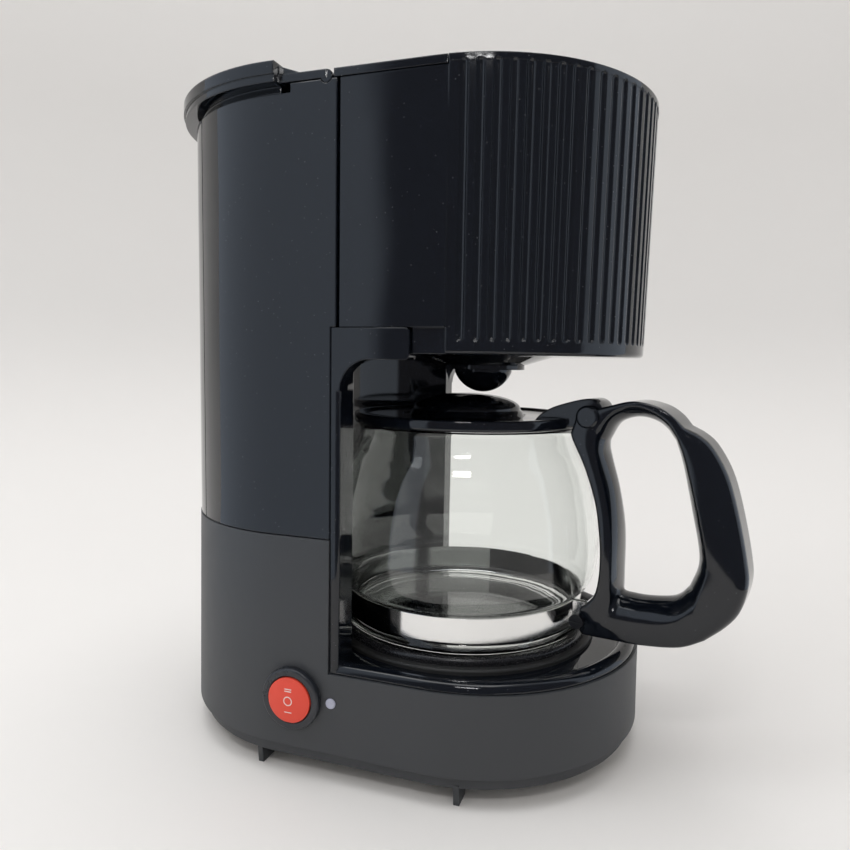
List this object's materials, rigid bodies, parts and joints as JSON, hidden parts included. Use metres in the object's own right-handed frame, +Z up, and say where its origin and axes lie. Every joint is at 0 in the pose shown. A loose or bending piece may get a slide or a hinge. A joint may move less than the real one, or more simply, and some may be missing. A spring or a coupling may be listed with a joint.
{
  "type": "drip coffee maker",
  "caption": "Compact drip coffee maker with a rear tank and hinged lid, a pull-out fluted brew basket with drip stop, a hot plate and a glass jug with a loop handle.",
  "frame": {"origin": "centre of the overall bounding box's footprint, on the table under the feet", "axes": "+Z up, +Y to the rear with the jug and its handle towards -Y, +X to the machine's right seen from behind the jug; the switch is on the -X side"},
  "size_m": [0.1478, 0.2424, 0.2616],
  "materials": {
    "matte_shell": "fine satin texture",
    "gloss_shell": "polished moulding",
    "plate_coating": "non-stick coating",
    "black_rubber": "smooth",
    "bare_aluminium": "extruded",
    "element_sheath": "heat-tinted",
    "steel_small": "zinc-plated",
    "fuse_sleeve": "woven glass sleeve",
    "natural_plastic": "natural, uncoloured",
    "clear_rubber": "translucent silicone",
    "tank_plastic": "smooth inside moulding",
    "filter_net": "fine woven net",
    "jug_glass": "clear blown glass",
    "polished_band": "polished stainless strip",
    "switch_bezel": "fine satin",
    "red_rocker": "satin red",
    "tinned_brass": "tinned",
    "lamp_lens": "clear lens"
  },
  "bodies": {
    "machine": {"base_shell": "matte_shell", "base_cover": "matte_shell", "base_screws": "steel_small", "body_frame": "gloss_shell", "hot_plate": "plate_coating", "plate_seal": "black_rubber", "boiler_tube": "bare_aluminium", "heating_element": "element_sheath", "heater_clamp": "steel_small", "clamp_nut": "steel_small", "thermostat": "steel_small", "thermal_fuse": "fuse_sleeve", "check_valve_body": "natural_plastic", "cold_water_hose": "clear_rubber", "hot_water_riser": "clear_rubber", "hose_clips": "steel_small", "tank_grommet": "clear_rubber", "tank_shell": "gloss_shell", "water_tank": "tank_plastic", "brew_head_cover": "gloss_shell", "lid_hinge_pins": "steel_small", "spray_head": "tank_plastic", "switch_body": "switch_bezel", "switch_terminals": "tinned_brass", "indicator_lens": "lamp_lens", "indicator_lamp": "lamp_lens", "cord_gland": "matte_shell"},
    "lid": {"tank_lid": "gloss_shell"},
    "basket": {"basket_drawer": "gloss_shell", "filter_cup": "tank_plastic", "filter_mesh": "filter_net", "valve_collar": "gloss_shell"},
    "drip_stop": {"valve_knob": "gloss_shell", "valve_seal": "clear_rubber", "valve_spring": "steel_small"},
    "jug": {"jug_glass": "jug_glass", "jug_band": "polished_band", "jug_handle": "gloss_shell", "band_screw": "steel_small", "band_nut": "steel_small", "jug_lid": "gloss_shell", "lid_pivot_pin": "gloss_shell"},
    "rocker": {"switch_rocker": "red_rocker"},
    "ball": {"check_ball": "steel_small"}
  },
  "joints": [
    {"name": "tank_lid_hinge", "type": "hinge", "parent": "machine", "child": "lid", "pos_m": [0.00093, 0.02821, 0.2554], "axis": [1, 0, 0], "range_deg": [0, 95]},
    {"name": "basket_slide", "type": "slide", "parent": "machine", "child": "basket", "axis": [0, -1, 0], "range_m": [0, 0.1]},
    {"name": "drip_stop_lift", "type": "slide", "parent": "basket", "child": "drip_stop", "axis": [0, 0, 1], "range_m": [0, 0.0025], "stiffness_N_per_m": 400, "springref_m": -0.001, "deforming": ["valve_spring"]},
    {"name": "jug_slide", "type": "slide", "parent": "machine", "child": "jug", "axis": [0, -1, 0], "range_m": [0, 0.15]},
    {"name": "switch_rock", "type": "hinge", "parent": "machine", "child": "rocker", "pos_m": [-0.07113, 0.04061, 0.0316], "axis": [0, 1, 0], "range_deg": [-8, 8]},
    {"name": "check_ball_lift", "type": "slide", "parent": "machine", "child": "ball", "axis": [0, 0, 1], "range_m": [0, 0.002]}
  ]
}
